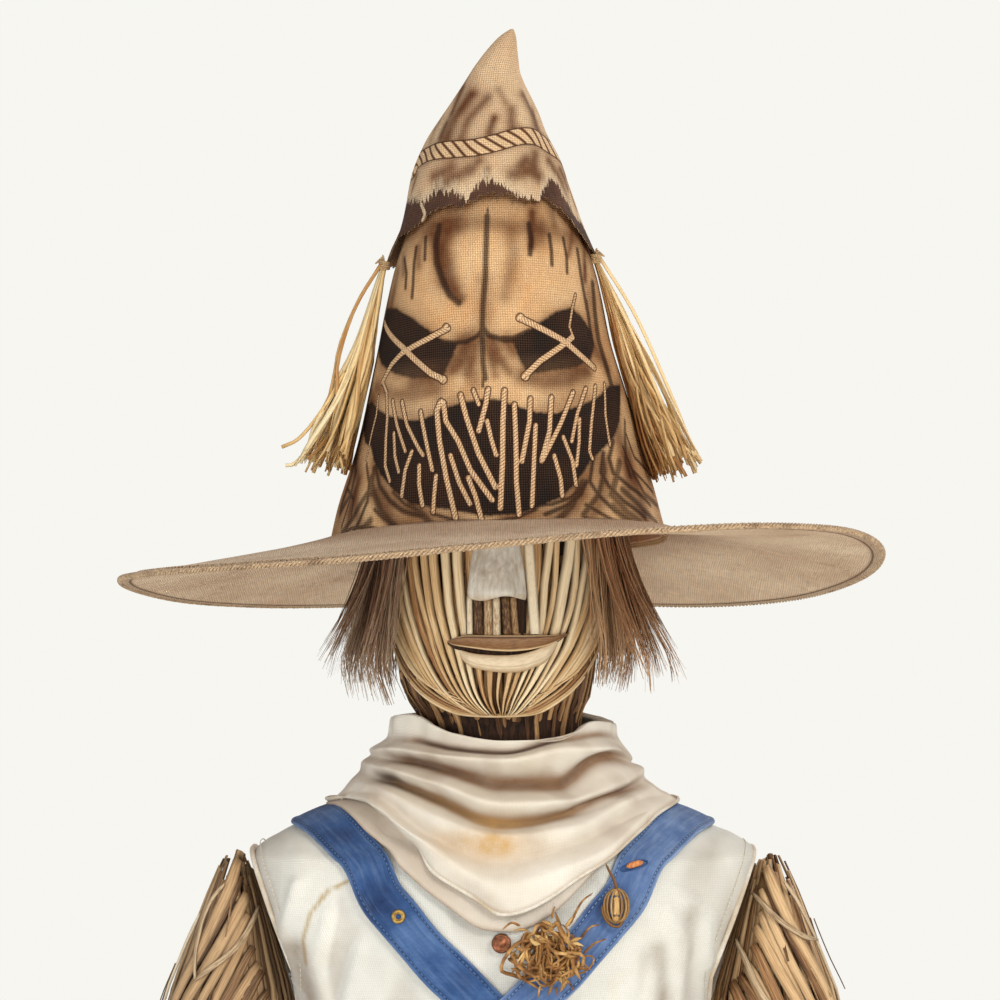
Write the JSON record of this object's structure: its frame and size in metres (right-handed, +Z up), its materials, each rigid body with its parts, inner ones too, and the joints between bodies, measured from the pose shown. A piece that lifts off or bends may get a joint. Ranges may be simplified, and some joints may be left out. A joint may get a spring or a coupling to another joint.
{
  "type": "scarecrow figure",
  "caption": "Half-length straw-stuffed scarecrow on a crossed wooden stand, with a turning head, a lift-off pointed burlap hat and swinging straw arms.",
  "frame": {"origin": "centre of the stand's underside, on the floor below the post", "axes": "+Z up along the post, -Y the way the face looks, +X towards a front viewer's right"},
  "size_m": [0.4618, 0.4556, 1.0478],
  "materials": {
    "aged_pine": "planed pine gone grey-brown",
    "zinc_steel": "zinc-plated steel",
    "straw": "loose wheat straw, matt",
    "arm_straw": "bound brown straw strips, satin",
    "vest_cotton": "washed cotton canvas, matt",
    "denim": "indigo twill, faded",
    "scarf_linen": "creased linen, matt",
    "copper": "aged copper button",
    "brass": "dull brass",
    "dried_vine": "dry brown vine",
    "head_canvas": "straw-stuffed canvas",
    "pale_reed": "split reed, satin",
    "grey_reed": "weathered grey reed",
    "lip_wood": "brown stained wood",
    "lip_reed": "pale reed",
    "dark_felt": "black felt",
    "hair_fibre": "frayed fibre, matt",
    "printed_burlap": "printed jute weave",
    "plain_burlap": "undyed jute weave",
    "braid": "woven straw braid",
    "sweatband_cotton": "orange-brown cotton tape",
    "raffia": "raffia strands, satin",
    "twine": "jute twine"
  },
  "bodies": {
    "stand": {"base_board_long": "aged_pine", "base_board_cross": "aged_pine", "post": "aged_pine", "neck_dowel": "aged_pine", "brace_right": "aged_pine", "brace_left": "aged_pine", "brace_back": "aged_pine", "brace_front": "aged_pine", "yoke": "aged_pine", "yoke_bracket_left": "zinc_steel", "yoke_bracket_right": "zinc_steel", "body_stuffing": "straw", "vest": "vest_cotton", "waistband": "denim", "waist_straw": "straw", "strap_left": "denim", "strap_right": "denim", "waist_button_left": "brass", "waist_button_right": "brass", "strap_eyelet": "brass", "strap_toggle": "lip_wood", "copper_button": "copper", "sprig_nest": "dried_vine", "seed_pod": "dried_vine", "scarf_wrap": "scarf_linen", "scarf_under_fold": "scarf_linen", "scarf_collar": "scarf_linen", "neck_washer": "aged_pine", "shoulder_pin_left": "zinc_steel", "shoulder_pin_right": "zinc_steel"},
    "head": {"neck_bundle": "arm_straw", "head_core": "head_canvas", "face_slats": "pale_reed", "nose": "grey_reed", "upper_lip": "lip_wood", "mouth_lining": "dark_felt", "lower_lip": "lip_reed", "hair_left": "hair_fibre", "hair_right": "hair_fibre", "hair_back": "hair_fibre"},
    "hat": {"hat_crown": "printed_burlap", "hat_cap": "printed_burlap", "hat_brim": "plain_burlap", "brim_binding": "braid", "sweatband": "sweatband_cotton", "hat_padding": "straw", "raffia_tuft_left": "raffia", "raffia_tuft_right": "raffia", "raffia_knot_left": "twine", "raffia_knot_right": "twine"},
    "arm_left": {"arm_bar_left": "aged_pine", "arm_straw_left": "arm_straw", "hand_straw_left": "arm_straw", "wrist_tie_left": "twine"},
    "arm_right": {"arm_bar_right": "aged_pine", "arm_straw_right": "arm_straw", "hand_straw_right": "arm_straw", "wrist_tie_right": "twine"}
  },
  "joints": [
    {"name": "head_turn", "type": "hinge", "parent": "stand", "child": "head", "pos_m": [0, 0, 0.5892], "axis": [0, 0, 1], "range_deg": [-60, 60]},
    {"name": "hat_lift", "type": "slide", "parent": "head", "child": "hat", "axis": [-0.0313, 0.0872, 0.9957], "range_m": [0, 0.24]},
    {"name": "arm_left_swing", "type": "hinge", "parent": "stand", "child": "arm_left", "pos_m": [-0.1356, 0, 0.515], "axis": [-0.9342, 0, -0.3567], "range_deg": [-30, 75]},
    {"name": "arm_right_swing", "type": "hinge", "parent": "stand", "child": "arm_right", "pos_m": [0.1356, 0, 0.515], "axis": [-0.9342, 0, 0.3567], "range_deg": [-30, 75]}
  ]
}
